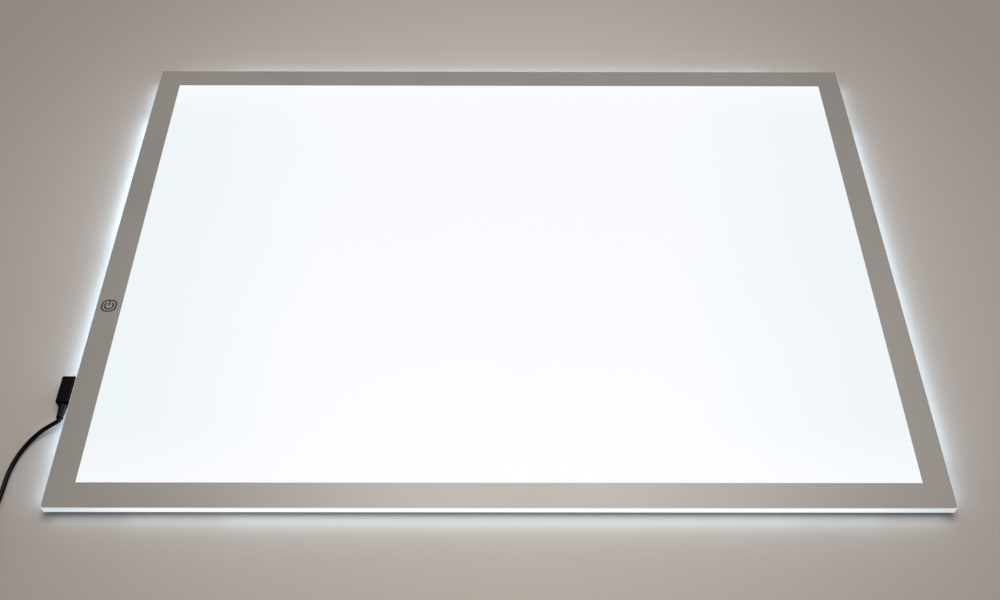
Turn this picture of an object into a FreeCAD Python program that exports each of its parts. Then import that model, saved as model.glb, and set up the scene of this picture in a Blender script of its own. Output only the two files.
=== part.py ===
"""Edge-lit light box: a slim A2 tracing panel with a printed border, a glowing clear edge,
two rows of LEDs, a touch-key control board, and a right-angle power plug with its lead.

Frame, millimetres: origin on the table plane under the panel's centre, +X along the long
side, +Y to the rear, +Z up. The power lead leaves the left side (-X).
"""

import FreeCAD, Part
import os
import Sketcher
import PartDesign  # registers the PartDesign feature types

V = FreeCAD.Vector
doc = FreeCAD.newDocument("LightBox")
doc.Label = "Light box"

# ---------------------------------------------------------------- driving dimensions
DIMENSIONS = [  # alias, value, note
    ("panel_length", 634.0, "overall length of the panel, X"),
    ("panel_width", 460.0, "overall width of the panel, Y"),
    ("corner_radius", 2.0, "plan radius of the panel's corners"),
    ("border_width", 20.0, "printed border around the A2 window"),
    ("foot_height", 2.0, "rubber feet"),
    ("foot_radius", 6.0, "rubber feet"),
    ("foot_round", 0.6, "rubber feet, lower rim radius"),
    ("foot_side_x", 285.0, "corner feet from the centre, X"),
    ("foot_side_y", 198.0, "corner and middle feet from the centre, Y"),
    ("cover_thick", 2.0, "back cover sheet"),
    ("cover_inset", 1.0, "back cover stands in from the clear edge"),
    ("cover_bevel", 0.4, "back cover, bevel of the lower edge"),
    ("frame_thick", 4.3, "clear edge frame"),
    ("frame_wall", 6.0, "clear edge frame, width of the ring"),
    ("slot_overrun", 1.0, "socket slot past both faces of the frame wall"),
    ("slot_play", 0.1, "socket slot, gap at each side of the socket"),
    ("sheet_thick", 1.5, "opal top sheet"),
    ("overlay_thick", 0.2, "printed border film"),
    ("overlay_inset", 0.25, "film edge stands in from the sheet's edge"),
    ("reflector_thick", 0.3, "white reflector under the light guide"),
    ("guide_thick", 3.5, "acrylic light guide plate"),
    ("diffuser_thick", 0.25, "diffuser film over the light guide"),
    ("guide_left", 309.0, "light guide, left edge from the centre"),
    ("guide_right", 310.7, "light guide, right edge from the centre"),
    ("guide_half_width", 221.7, "light guide, half its width"),
    ("guide_corner_cut", 4.0, "light guide, left corners cut for the wires"),
    ("bay_depth", 298.6, "control bay, inner wall from the centre"),
    ("bay_front", 140.0, "control bay, front end from the centre"),
    ("bay_rear", 40.0, "control bay, rear end from the centre"),
    ("tape_thick", 0.2, "tape behind each LED board"),
    ("strip_length", 600.0, "LED boards"),
    ("strip_thick", 1.0, "LED boards"),
    ("strip_height", 3.9, "LED boards"),
    ("strip_lift", 0.1, "LED boards above the back cover"),
    ("led_width", 3.5, "LED package along the board"),
    ("led_depth", 0.8, "LED package off the board"),
    ("led_height", 2.8, "LED package"),
    ("led_window_width", 2.9, "LED phosphor window"),
    ("led_window_height", 2.2, "LED phosphor window"),
    ("led_window_depth", 0.1, "LED phosphor window"),
    ("led_pitch", 8.25, "LED spacing"),
    ("led_count", 72, "LEDs on each board"),
    ("wire_radius", 0.5, "LED wires"),
    ("wire_run_x", 310.0, "LED wires, run along the left bay"),
    ("wire_run_y", 223.3, "LED wires, run behind the LED board's end"),
    ("wire_bend", 4.0, "LED wires, bend at the corner"),
    ("wire_low", 5.9, "lower LED wire, height"),
    ("wire_high", 7.1, "upper LED wire, height"),
    ("wire_overlap", 4.0, "LED wires, length beside the control board"),
    ("wire_gap", 0.2, "LED wires, gap before the LED board's end"),
    ("screw_row_y", 227.0, "long-side screws from the centre"),
    ("screw_row_x", 314.0, "short-side screws from the centre"),
    ("screw_pitch_x", 120.0, "long-side screw spacing"),
    ("screw_pitch_y", 160.0, "short-side screw spacing"),
    ("screw_shank", 0.97, "M2 screw, shank radius"),
    ("screw_length", 4.6, "M2 screw, overall"),
    ("screw_head", 1.95, "M2 screw, head radius"),
    ("screw_head_height", 0.98, "M2 screw, countersunk head"),
    ("screw_sink", 0.05, "screw heads in from the back cover's lower face"),
    ("cross_half_width", 0.16, "cross recess, half the width of an arm"),
    ("cross_reach", 0.85, "cross recess, arm's end from the axis"),
    ("cross_depth", 0.7, "cross recess"),
    ("pilot_radius", 1.0, "pilot hole in the clear frame"),
    ("pilot_depth", 3.0, "pilot hole in the clear frame"),
    ("cover_hole", 1.15, "screw hole in the back cover, radius"),
    ("cover_sink", 2.15, "countersink in the back cover, radius"),
    ("icon_x", 307.0, "power key from the centre, to the left"),
    ("icon_y", 52.0, "power key from the centre, to the front"),
    ("icon_size", 12.2, "rounded-square outline of the power key"),
    ("icon_round", 4.9, "rounded-square outline, corner radius"),
    ("icon_line", 1.3, "width of the printed lines"),
    ("icon_ring", 3.9, "outer radius of the power symbol"),
    ("icon_gap", 3.7, "gap at the top of the power symbol"),
    ("icon_bar", 4.5, "length of the bar of the power symbol"),
    ("icon_bar_start", 0.1, "bar's lower end above the symbol's centre"),
    ("print_depth", 0.1, "depth of the printed lines in the film"),
    ("board_length", 94.0, "control board, Y"),
    ("board_width", 10.8, "control board, X"),
    ("board_thick", 1.0, "control board"),
    ("board_left", 310.2, "control board, outer edge from the centre"),
    ("board_front", 137.0, "control board, front end from the centre"),
    ("board_tape", 0.3, "tape under the control board"),
    ("notch_play", 0.3, "control board notch, gap around the socket"),
    ("touch_shift", 0.8, "touch electrode, to the right of the key"),
    ("foam_size", 7.0, "touch foam, X and Y"),
    ("foil_x", 8.6, "touch foil, X"),
    ("foil_y", 10.0, "touch foil, Y"),
    ("foil_thick", 0.1, "touch foil"),
    ("socket_y", 124.3, "power socket from the centre, to the front"),
    ("socket_recess", 0.5, "socket face behind the panel's side"),
    ("socket_length", 12.7, "power socket body"),
    ("socket_width", 7.0, "power socket body"),
    ("socket_height", 4.1, "power socket body"),
    ("socket_round", 0.4, "power socket body, upright edges"),
    ("socket_bore", 1.8, "power socket, bore radius"),
    ("socket_depth", 10.5, "power socket, bore depth"),
    ("contact_slot_near", 3.5, "socket side slot, start from the face"),
    ("contact_slot_far", 10.5, "socket side slot, end from the face"),
    ("contact_slot_height", 2.0, "socket side slot"),
    ("contact_width", 1.6, "socket leaf contact, Z"),
    ("socket_pin_radius", 0.62, "power socket, centre pin"),
    ("socket_pin_start", 3.0, "centre pin, tip behind the socket face"),
    ("socket_pin_length", 10.0, "centre pin"),
    ("socket_pin_nose", 0.45, "centre pin, tip radius"),
    ("barrel_radius", 1.75, "plug barrel, outside radius (3.5 mm plug)"),
    ("barrel_wall", 0.5, "plug barrel sleeve wall"),
    ("insulator_wall", 0.4, "plug insulator wall"),
    ("barrel_hole", 0.675, "plug barrel, hole radius (1.35 mm)"),
    ("barrel_reach", 9.6, "plug barrel, length past the moulding"),
    ("barrel_root", 5.9, "plug barrel, length inside the moulding"),
    ("barrel_step", 0.2, "insulator past the sleeve, tip contact short of it"),
    ("barrel_play", 0.03, "plug seat around the barrel"),
    ("barrel_end_play", 0.1, "plug seat past the barrel's root"),
    ("plug_gap", 0.2, "plug moulding from the panel's side"),
    ("plug_width", 10.2, "plug moulding, X"),
    ("plug_length", 23.6, "plug moulding, Y"),
    ("plug_height", 9.0, "plug moulding, Z"),
    ("plug_heel", 4.8, "plug moulding behind the barrel's axis"),
    ("plug_round", 1.1, "plug moulding, edge radius"),
    ("plug_cable_shift", 0.2, "cable axis to the left of the moulding's middle"),
    ("plug_cable_seat", 4.0, "cable seat in the plug moulding, depth"),
    ("plug_cable_root", 3.8, "cable inside the plug moulding, length"),
    ("relief_length", 11.5, "strain relief of the plug"),
    ("relief_start", 3.1, "strain relief, radius at the moulding"),
    ("relief_end", 2.25, "strain relief, radius at the cable"),
    ("cable_radius", 1.65, "power cable"),
    ("cable_play", 0.05, "bore around the cable, over its radius"),
    ("usb_x", 352.6, "lead's end fitting from the centre, to the left"),
    ("usb_y", 237.0, "lead's end fitting from the centre, to the front"),
    ("usb_axis", 4.0, "lead's end fitting, height of its axis"),
    ("usb_turn", -5.0, "lead's end fitting, turn about Z, degrees"),
    ("usb_relief", 10.0, "strain relief of the end fitting"),
    ("usb_relief_start", 2.4, "end strain relief, radius at the cable"),
    ("usb_relief_end", 3.0, "end strain relief, radius at the moulding"),
    ("usb_body_length", 26.0, "USB moulding"),
    ("usb_body_width", 15.6, "USB moulding"),
    ("usb_body_height", 8.0, "USB moulding"),
    ("usb_body_round", 1.6, "USB moulding, edge radius"),
    ("usb_cable_seat", 3.0, "cable seat in the USB moulding, depth"),
    ("usb_seat_play", 0.2, "shell seat past the shell's root"),
    ("grip_width", 9.0, "grip grooves of the USB moulding, X"),
    ("grip_groove", 1.1, "grip grooves, width"),
    ("grip_pitch", 2.6, "grip grooves, spacing"),
    ("grip_start", 6.0, "first grip groove from the cable end"),
    ("grip_depth", 0.35, "grip grooves"),
    ("usb_shell_width", 12.0, "USB type A shell"),
    ("usb_shell_height", 4.5, "USB type A shell"),
    ("usb_shell_reach", 18.75, "USB type A shell past the moulding"),
    ("usb_shell_root", 5.0, "USB type A shell inside the moulding"),
    ("usb_shell_wall", 0.3, "USB type A shell"),
    ("usb_tongue_thick", 1.84, "USB type A tongue"),
    ("usb_tongue_recess", 0.8, "USB tongue, tip behind the shell's mouth"),
]

sheet = doc.addObject("Spreadsheet::Sheet", "Params")
sheet.Label = "Dimensions"
for row, (alias, value, note) in enumerate(DIMENSIONS, 1):
    sheet.set(f"A{row}", alias.replace("_", " "))
    sheet.set(f"B{row}", str(value))
    sheet.setAlias(f"B{row}", alias)
    sheet.set(f"C{row}", note)
doc.recompute()


class Dim:
    """A length with its number and the spreadsheet expression that drives it."""

    def __init__(self, value, text):
        self.value = float(value)
        self.text = text

    def _join(self, sign, other, operation):
        other = dim(other)
        value = operation(self.value, other.value)
        return Dim(value, f"({self.text} {sign} {other.text})")

    def __add__(self, other):
        return self._join("+", other, float.__add__)

    def __sub__(self, other):
        return self._join("-", other, float.__sub__)

    def __mul__(self, other):
        return self._join("*", other, float.__mul__)

    def __rmul__(self, other):
        return dim(other) * self

    def __truediv__(self, other):
        return self._join("/", other, float.__truediv__)

    def __neg__(self):
        return dim(0) - self


class Sizes:
    """size.alias gives the Dim of that cell."""

    def __getattr__(self, alias):
        return Dim(sheet.get(alias), f"Params.{alias}")


size = Sizes()


def dim(value):
    return value if isinstance(value, Dim) else Dim(value, f"{float(value):g}")


def bind(obj, prop, value):
    """Sets a property to a Dim's number and binds it to the expression behind it."""
    value = dim(value)
    setattr(obj, prop, value.value)
    obj.setExpression(prop, value.text)


def place(obj, x=0, y=0, z=0):
    x, y, z = dim(x), dim(y), dim(z)
    obj.Placement = FreeCAD.Placement(V(x.value, y.value, z.value), FreeCAD.Rotation())
    for axis, value in (("x", x), ("y", y), ("z", z)):
        if value.value:
            obj.setExpression(f"Placement.Base.{axis}", value.text)
    return obj


# ---------------------------------------------------------------- levels and shared places
z_cover = size.foot_height
z_frame = z_cover + size.cover_thick
z_sheet = z_frame + size.frame_thick
z_film = z_sheet + size.sheet_thick
z_print = z_film + size.overlay_thick - size.print_depth
z_axis = z_frame + size.frame_thick / 2  # barrel axis of the power socket
z_board = z_frame + size.board_tape
z_parts = z_board + size.board_thick

half_length = size.panel_length / 2
half_width = size.panel_width / 2
y_wall = half_width - size.frame_wall  # inner face of the frame's long walls
x_socket = size.socket_recess - half_length
y_socket = -size.socket_y
x_plug = -half_length - size.plug_gap  # face of the plug moulding that meets the panel
cable_shift = -size.plug_width / 2 - size.plug_cable_shift
x_cable = x_plug + cable_shift
y_boot = y_socket + size.plug_heel - size.plug_length  # front end of the plug moulding
x_board = -size.board_left
y_board = -size.board_front
x_board_middle = x_board + size.board_width / 2
cable_bore = size.cable_radius + size.cable_play

ROWS = (("front", -1), ("rear", 1))
SCREWS = [
    (step * size.screw_pitch_x, side * size.screw_row_y)
    for side in (-1, 1)
    for step in (-2.5, -1.5, -0.5, 0.5, 1.5, 2.5)
] + [
    (side * size.screw_row_x, step * size.screw_pitch_y)
    for side in (-1, 1)
    for step in (-1, 0, 1)
]
FEET = [
    (column * size.foot_side_x, side * size.foot_side_y)
    for side in (-1, 1)
    for column in (-1, 0, 1)
] + [(0, 0)]


# ---------------------------------------------------------------- sketch helpers
def add(kind, label):
    obj = doc.addObject(kind, label.title().replace("_", ""))
    obj.Label = label
    return obj


def new_body(label, many=False):
    body = add("PartDesign::Body", label)
    if many:
        body.AllowCompound = True
    return body


def new_sketch(body, name, role="XY_Plane", lift=None):
    """A sketch on an origin plane, lifted along the plane's normal."""
    sketch = body.newObject("Sketcher::SketchObject", name)
    plane = [item for item in body.Origin.OriginFeatures if item.Role == role][0]
    sketch.AttachmentSupport = (plane, [""])
    sketch.MapMode = "FlatFace"
    if lift is not None:
        sketch.setExpression("AttachmentOffset.Base.z", dim(lift).text)
    return sketch


def fix(sketch, line, end, x, y):
    """Holds a point at x and y from the sketch's origin."""
    for kind, flat, value in (("DistanceX", "Vertical", x), ("DistanceY", "Horizontal", y)):
        if abs(value.value) < 1e-9:
            sketch.addConstraint(Sketcher.Constraint(flat, -1, 1, line, end))
            continue
        number = sketch.addConstraint(
            Sketcher.Constraint(kind, -1, 1, line, end, value.value)
        )
        sketch.setExpression(f"Constraints[{number}]", value.text)


def closed_lines(sketch, points):
    """Draws a closed loop of lines, each starting at its point, and joins their ends."""
    corners = [V(x.value, y.value, 0) for x, y in points]
    count = len(corners)
    lines = [
        sketch.addGeometry(Part.LineSegment(corners[i], corners[(i + 1) % count]), False)
        for i in range(count)
    ]
    for i in range(count):
        sketch.addConstraint(
            Sketcher.Constraint("Coincident", lines[i], 2, lines[(i + 1) % count], 1)
        )
    return lines


def rect(sketch, x0, x1, y0, y1):
    x0, x1, y0, y1 = (dim(value) for value in (x0, x1, y0, y1))
    lines = closed_lines(sketch, ((x0, y0), (x1, y0), (x1, y1), (x0, y1)))
    for i, line in enumerate(lines):
        sketch.addConstraint(Sketcher.Constraint(("Horizontal", "Vertical")[i % 2], line))
    fix(sketch, lines[0], 1, x0, y0)
    fix(sketch, lines[2], 1, x1, y1)


def polygon(sketch, points):
    points = [(dim(x), dim(y)) for x, y in points]
    for line, (x, y) in zip(closed_lines(sketch, points), points):
        fix(sketch, line, 1, x, y)


def circles(sketch, points, radius):
    radius = dim(radius)
    for x, y in points:
        x, y = dim(x), dim(y)
        circle = sketch.addGeometry(
            Part.Circle(V(x.value, y.value, 0), V(0, 0, 1), radius.value), False
        )
        fix(sketch, circle, 3, x, y)
        number = sketch.addConstraint(Sketcher.Constraint("Radius", circle, radius.value))
        sketch.setExpression(f"Constraints[{number}]", radius.text)


# ---------------------------------------------------------------- feature helpers
def pad(body, sketch, length, name, taper=None):
    feature = body.newObject("PartDesign::Pad", name)
    feature.Profile = sketch
    bind(feature, "Length", length)
    if taper is not None:
        feature.TaperAngle = taper
    doc.recompute()
    return feature


def pocket(body, sketch, depth, name, reverse=True):
    """Cuts along the sketch's normal by default, and stops if nothing was cut."""
    before = body.Shape.Volume
    feature = body.newObject("PartDesign::Pocket", name)
    feature.Profile = sketch
    if depth is None:
        feature.Type = "ThroughAll"
    else:
        bind(feature, "Length", depth)
    feature.Reversed = reverse
    doc.recompute()
    if not body.Shape.Volume < before - 1e-6:
        raise RuntimeError(f"{body.Label}: {name} cut nothing")
    return feature


def any_edge(edge):
    return edge.Length > 1e-6


def upright(edge):
    return (
        edge.Curve.TypeId == "Part::GeomLine"
        and abs(edge.Curve.Direction.z) > 0.999
        and edge.Length > 1e-6
    )


def at_height(z):
    return lambda edge: (
        abs(edge.BoundBox.ZMin - z) < 1e-6 and abs(edge.BoundBox.ZMax - z) < 1e-6
    )


def dress(kind, prop, body, base, test, amount, name):
    """A fillet or chamfer on the edges of base that pass the test."""
    names = [f"Edge{n}" for n, edge in enumerate(base.Shape.Edges, 1) if test(edge)]
    feature = body.newObject(kind, name)
    feature.Base = (base, names)
    bind(feature, prop, amount)
    doc.recompute()
    return feature


def fillet(*args):
    return dress("PartDesign::Fillet", "Radius", *args)


def chamfer(*args):
    return dress("PartDesign::Chamfer", "Size", *args)


def plate(label, inset, thick, z):
    """A sheet with rounded corners that stands in from the panel's outline by inset."""
    body = new_body(label)
    sketch = new_sketch(body, label + "_outline")
    panel_rect(sketch, inset)
    feature = pad(body, sketch, thick, label + "_pad")
    feature = fillet(
        body, feature, upright, size.corner_radius - inset, label + "_corners"
    )
    place(body, z=z)
    return body, feature


def panel_rect(sketch, inset):
    rect(
        sketch,
        inset - half_length,
        half_length - inset,
        inset - half_width,
        half_width - inset,
    )


def box(label, length, width, height, x, y, z):
    solid = add("Part::Box", label)
    bind(solid, "Length", length)
    bind(solid, "Width", width)
    bind(solid, "Height", height)
    return place(solid, x, y, z)


def cylinder(label, radius, height, x, y, z):
    solid = add("Part::Cylinder", label)
    bind(solid, "Radius", radius)
    bind(solid, "Height", height)
    return place(solid, x, y, z)


def cut(label, base, tool):
    result = add("Part::Cut", label)
    result.Base = base
    result.Tool = tool
    doc.recompute()
    return result


def group(label, links):
    result = add("Part::Compound", label)
    result.Links = links
    doc.recompute()
    return result


def pipe(label, path_edges, radius, start, direction):
    """A round rod: a circle at start swept along the path."""
    spine = add("Part::Feature", label + "_path")
    spine.Shape = Part.Wire(path_edges)
    section = add("Part::Feature", label + "_section")
    section.Shape = Part.Wire([Part.Circle(start, direction, radius.value).toShape()])
    sweep = add("Part::Sweep", label)
    sweep.Sections = [section]
    sweep.Spine = (spine, [f"Edge{i + 1}" for i in range(len(path_edges))])
    sweep.Solid = True
    sweep.Frenet = False
    sweep.Transition = "Right corner"
    doc.recompute()
    return sweep


# ---------------------------------------------------------------- back cover, screws, feet
def back_cover():
    cover, blank = plate("back_cover", size.cover_inset, size.cover_thick, z_cover)
    chamfer(cover, blank, at_height(0), size.cover_bevel, "back_cover_bevel")
    sketch = new_sketch(cover, "back_cover_screw_places")
    circles(sketch, SCREWS, size.cover_hole)
    doc.recompute()
    before = cover.Shape.Volume
    hole = cover.newObject("PartDesign::Hole", "back_cover_screw_holes")
    hole.Profile = sketch
    doc.recompute()
    bind(hole, "Diameter", 2 * size.cover_hole)
    hole.DepthType = "ThroughAll"
    hole.HoleCutType = "Countersink"
    hole.HoleCutCustomValues = True
    bind(hole, "HoleCutDiameter", 2 * size.cover_sink)
    hole.HoleCutCountersinkAngle = 90
    hole.Reversed = True
    doc.recompute()
    if not cover.Shape.Volume < before - 10:
        raise RuntimeError("the screw holes cut nothing")
    return cover


def cover_screws():
    """One screw, head down, linked at every screw place."""
    screw = new_body("cover_screw")
    sketch = new_sketch(screw, "screw_head_circle")
    circles(sketch, [(0, 0)], size.screw_head)
    pad(screw, sketch, size.screw_head_height, "screw_head_cone", taper=-45)
    sketch = new_sketch(screw, "screw_shank_circle")
    circles(sketch, [(0, 0)], size.screw_shank)
    pad(screw, sketch, size.screw_length, "screw_shank_rod")
    sketch = new_sketch(screw, "screw_cross")
    arm, reach = size.cross_half_width, size.cross_reach
    polygon(
        sketch,
        [
            (-arm, -reach), (arm, -reach), (arm, -arm), (reach, -arm),
            (reach, arm), (arm, arm), (arm, reach), (-arm, reach),
            (-arm, arm), (-reach, arm), (-reach, -arm), (-arm, -arm),
        ],
    )
    pocket(screw, sketch, size.cross_depth, "screw_drive")
    copies = []
    for n, (x, y) in enumerate(SCREWS):
        link = add("App::Link", f"screw_{n}")
        link.LinkedObject = screw
        link.LinkTransform = False
        copies.append(place(link, x, y, z_cover + size.screw_sink))
    return group("cover_screws", copies)


def rubber_feet():
    feet = new_body("rubber_feet", many=True)
    sketch = new_sketch(feet, "foot_places")
    circles(sketch, FEET, size.foot_radius)
    pads = pad(feet, sketch, size.foot_height, "foot_pads")
    fillet(feet, pads, at_height(0), size.foot_round, "foot_rims")
    return feet


# ---------------------------------------------------------------- clear edge frame
def clear_edge_frame():
    frame, _ = plate("clear_edge_frame", dim(0), size.frame_thick, z_frame)
    sketch = new_sketch(frame, "frame_opening")
    panel_rect(sketch, size.frame_wall)
    pocket(frame, sketch, None, "frame_inside")
    sketch = new_sketch(frame, "frame_socket_gate")
    rect(
        sketch,
        -half_length - size.slot_overrun,
        size.frame_wall - half_length + size.slot_overrun,
        y_socket - size.socket_width / 2 - size.slot_play,
        y_socket + size.socket_width / 2 + size.slot_play,
    )
    pocket(frame, sketch, None, "frame_socket_slot")
    sketch = new_sketch(frame, "frame_pilot_places")
    circles(sketch, SCREWS, size.pilot_radius)
    pocket(frame, sketch, size.pilot_depth, "frame_pilot_holes")
    return frame


# ---------------------------------------------------------------- optical stack
def optical_layer(label, thick, z):
    """A layer with cut left corners and a notch in its left side for the control bay."""
    left, right = -size.guide_left, size.guide_right
    wide, corner = size.guide_half_width, size.guide_corner_cut
    inner, front, rear = -size.bay_depth, -size.bay_front, -size.bay_rear
    layer = new_body(label)
    sketch = new_sketch(layer, label + "_outline")
    polygon(
        sketch,
        [
            (left + corner, -wide),
            (right, -wide),
            (right, wide),
            (left + corner, wide),
            (left, wide - corner),
            (left, rear),
            (inner, rear),
            (inner, front),
            (left, front),
            (left, corner - wide),
        ],
    )
    pad(layer, sketch, thick, label + "_pad")
    return place(layer, z=z)


def optical_stack():
    z_guide = z_frame + size.reflector_thick
    z_diffuser = z_guide + size.guide_thick
    return [
        optical_layer("reflector_sheet", size.reflector_thick, z_frame),
        optical_layer("light_guide_plate", size.guide_thick, z_guide),
        optical_layer("diffuser_film", size.diffuser_thick, z_diffuser),
    ]


def top_sheet():
    return plate("top_sheet", dim(0), size.sheet_thick, z_sheet)[0]


# ---------------------------------------------------------------- LED boards
def slab_y(side, near, far):
    """Lower Y of a slab that lies between near and far from the frame's inner wall."""
    return near - y_wall if side < 0 else y_wall - far


def led_strip(label, side):
    """Tape, board and LEDs; the board stands on its edge and the LEDs face the guide."""
    board_near = size.tape_thick
    led_near = size.tape_thick + size.strip_thick
    slabs = [
        box(
            label + name,
            size.strip_length,
            thick,
            size.strip_height,
            -size.strip_length / 2,
            slab_y(side, near, far),
            z_frame + size.strip_lift,
        )
        for name, thick, near, far in (
            ("_board_tape", size.tape_thick, dim(0), board_near),
            ("_led_board", size.strip_thick, board_near, led_near),
        )
    ]
    row = led_row(label, side)
    place(
        row,
        -size.led_pitch * (size.led_count - 1) / 2,
        slab_y(side, led_near, led_near + size.led_depth),
        z_frame + size.reflector_thick + (size.guide_thick - size.led_height) / 2,
    )
    return slabs + [row]


def led_row(label, side):
    leds = new_body(label + "_leds", many=True)
    sketch = new_sketch(leds, label + "_led_outline")
    rect(sketch, -size.led_width / 2, size.led_width / 2, 0, size.led_depth)
    package = pad(leds, sketch, size.led_height, label + "_led_package")
    # the front row's window is in the +Y face, the rear row's in the -Y face
    lift = size.led_window_depth - size.led_depth if side < 0 else None
    sketch = new_sketch(leds, label + "_led_window", "XZ_Plane", lift)
    margin = (size.led_height - size.led_window_height) / 2
    rect(
        sketch,
        -size.led_window_width / 2,
        size.led_window_width / 2,
        margin,
        size.led_height - margin,
    )
    window = pocket(
        leds, sketch, size.led_window_depth, label + "_led_phosphor", reverse=False
    )
    row = leds.newObject("PartDesign::LinearPattern", label + "_led_row")
    row.Originals = [package, window]
    row.Direction = (sketch, ["H_Axis"])
    bind(row, "Length", size.led_pitch * (size.led_count - 1))
    row.setExpression("Occurrences", "Params.led_count")
    leds.Tip = row
    doc.recompute()
    if len(leds.Shape.Solids) != int(size.led_count.value):
        raise RuntimeError(f"{label}_leds: {len(leds.Shape.Solids)} solids")
    return leds


def led_wires(label, side):
    """Two wires, from beside the control board, round the left corner, to the LED board."""
    if side < 0:
        y_start = (y_board + size.wire_overlap).value
    else:
        y_start = (y_board + size.board_length - size.wire_overlap).value
    x, y = -size.wire_run_x.value, side * size.wire_run_y.value
    x_end = (-size.strip_length / 2 - size.wire_gap).value
    bend = size.wire_bend.value
    sagitta = bend * (1 - 0.5**0.5)  # from each run to the middle of the bend
    rods = []
    for which, height in (("low", size.wire_low), ("high", size.wire_high)):
        z = height.value
        start = V(x, y_start, z)
        bend_start = V(x, y - side * bend, z)
        bend_middle = V(x + sagitta, y - side * sagitta, z)
        bend_end = V(x + bend, y, z)
        path = [
            Part.LineSegment(start, bend_start).toShape(),
            Part.Arc(bend_start, bend_middle, bend_end).toShape(),
            Part.LineSegment(bend_end, V(x_end, y, z)).toShape(),
        ]
        rods.append(
            pipe(f"{label}_wire_{which}", path, size.wire_radius, start, V(0, side, 0))
        )
    return group(f"{label}_led_wires", rods)


# ---------------------------------------------------------------- border film and power key
def icon_square(label, shrink):
    half = size.icon_size / 2 - shrink
    square = new_body(label)
    sketch = new_sketch(square, label + "_sketch")
    rect(sketch, -half, half, -half, half)
    blank = pad(square, sketch, size.print_depth, label + "_pad")
    fillet(square, blank, upright, size.icon_round - shrink, label + "_round")
    return place(square, -size.icon_x, -size.icon_y, z_print)


def icon_disc(label, radius):
    return cylinder(label, radius, size.print_depth, -size.icon_x, -size.icon_y, z_print)


def power_icon():
    """Printed lines: a rounded-square outline around an open ring with a bar."""
    outline = cut(
        "icon_outline",
        icon_square("icon_outline_outer", dim(0)),
        icon_square("icon_outline_inner", size.icon_line),
    )
    closed_ring = cut(
        "icon_ring_closed",
        icon_disc("icon_ring_outer", size.icon_ring),
        icon_disc("icon_ring_inner", size.icon_ring - size.icon_line),
    )
    gap = box(
        "icon_ring_gap",
        size.icon_gap,
        size.icon_ring + 1,  # runs past the ring
        size.print_depth,
        -size.icon_x - size.icon_gap / 2,
        -size.icon_y,
        z_print,
    )
    ring = cut("icon_ring_open", closed_ring, gap)
    bar = box(
        "icon_bar_print",
        size.icon_line,
        size.icon_bar,
        size.print_depth,
        -size.icon_x - size.icon_line / 2,
        size.icon_bar_start - size.icon_y,
        z_print,
    )
    return group("power_icon", [outline, ring, bar])


def border_overlay(icon):
    """The border film with the printed lines of the icon let in."""
    film, _ = plate("border_film_blank", size.overlay_inset, size.overlay_thick, z_film)
    sketch = new_sketch(film, "film_window")
    panel_rect(sketch, size.border_width)
    pocket(film, sketch, None, "film_window_cut")
    return cut("border_overlay", film, icon)


# ---------------------------------------------------------------- control board
def board_layer(label, thick, z):
    """A layer of the board, notched from the left around the power socket."""
    x_notch = x_socket + size.socket_length + size.notch_play
    notch_front = y_socket - size.socket_width / 2 - size.notch_play
    notch_rear = y_socket + size.socket_width / 2 + size.notch_play
    layer = new_body(label)
    sketch = new_sketch(layer, label + "_outline")
    polygon(
        sketch,
        [
            (x_board, y_board),
            (x_board + size.board_width, y_board),
            (x_board + size.board_width, y_board + size.board_length),
            (x_board, y_board + size.board_length),
            (x_board, notch_rear),
            (x_notch, notch_rear),
            (x_notch, notch_front),
            (x_board, notch_front),
        ],
    )
    pad(layer, sketch, thick, label + "_pad")
    return place(layer, z=z)


def controller_chip():
    """Eight-leg chip: four legs on each X side."""
    half_x, half_y, height, bevel = 1.95, 2.45, 1.4, 0.25
    leg_root, leg_tip, leg_half, leg_thick = 1.9, 3.0, 0.2, 0.3
    leg_pitch = 1.27
    y_chip = -70
    chip = new_body("controller_chip", many=True)
    sketch = new_sketch(chip, "chip_case_outline")
    rect(sketch, -half_x, half_x, -half_y, half_y)
    case = pad(chip, sketch, height, "chip_case")
    chamfer(chip, case, at_height(height), bevel, "chip_bevel")
    sketch = new_sketch(chip, "chip_legs_outline")
    for i in range(4):
        y = (i - 1.5) * leg_pitch
        rect(sketch, leg_root, leg_tip, y - leg_half, y + leg_half)
        rect(sketch, -leg_tip, -leg_root, y - leg_half, y + leg_half)
    pad(chip, sketch, leg_thick, "chip_legs")
    return place(chip, x_board_middle, y_chip, z_parts)


def power_transistor():
    """Case with a wide tab to the rear and two legs to the front."""
    half_x, front, rear, height, bevel = 3.1, -2.6, 3.2, 2.2, 0.3
    tab_half, tab_root, tab_end = 2.6, 3.1, 4.4
    leg_x, leg_half, leg_tip, leg_root = 2.3, 0.35, -4.6, -2.5
    metal_thick = 0.5
    y_transistor = -85
    transistor = new_body("power_transistor", many=True)
    sketch = new_sketch(transistor, "transistor_case_outline")
    rect(sketch, -half_x, half_x, front, rear)
    case = pad(transistor, sketch, height, "transistor_case")
    chamfer(transistor, case, at_height(height), bevel, "transistor_bevel")
    sketch = new_sketch(transistor, "transistor_legs_outline")
    rect(sketch, -tab_half, tab_half, tab_root, tab_end)
    for x in (-leg_x, leg_x):
        rect(sketch, x - leg_half, x + leg_half, leg_tip, leg_root)
    pad(transistor, sketch, metal_thick, "transistor_legs")
    return place(transistor, x_board_middle, y_transistor, z_parts)


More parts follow.
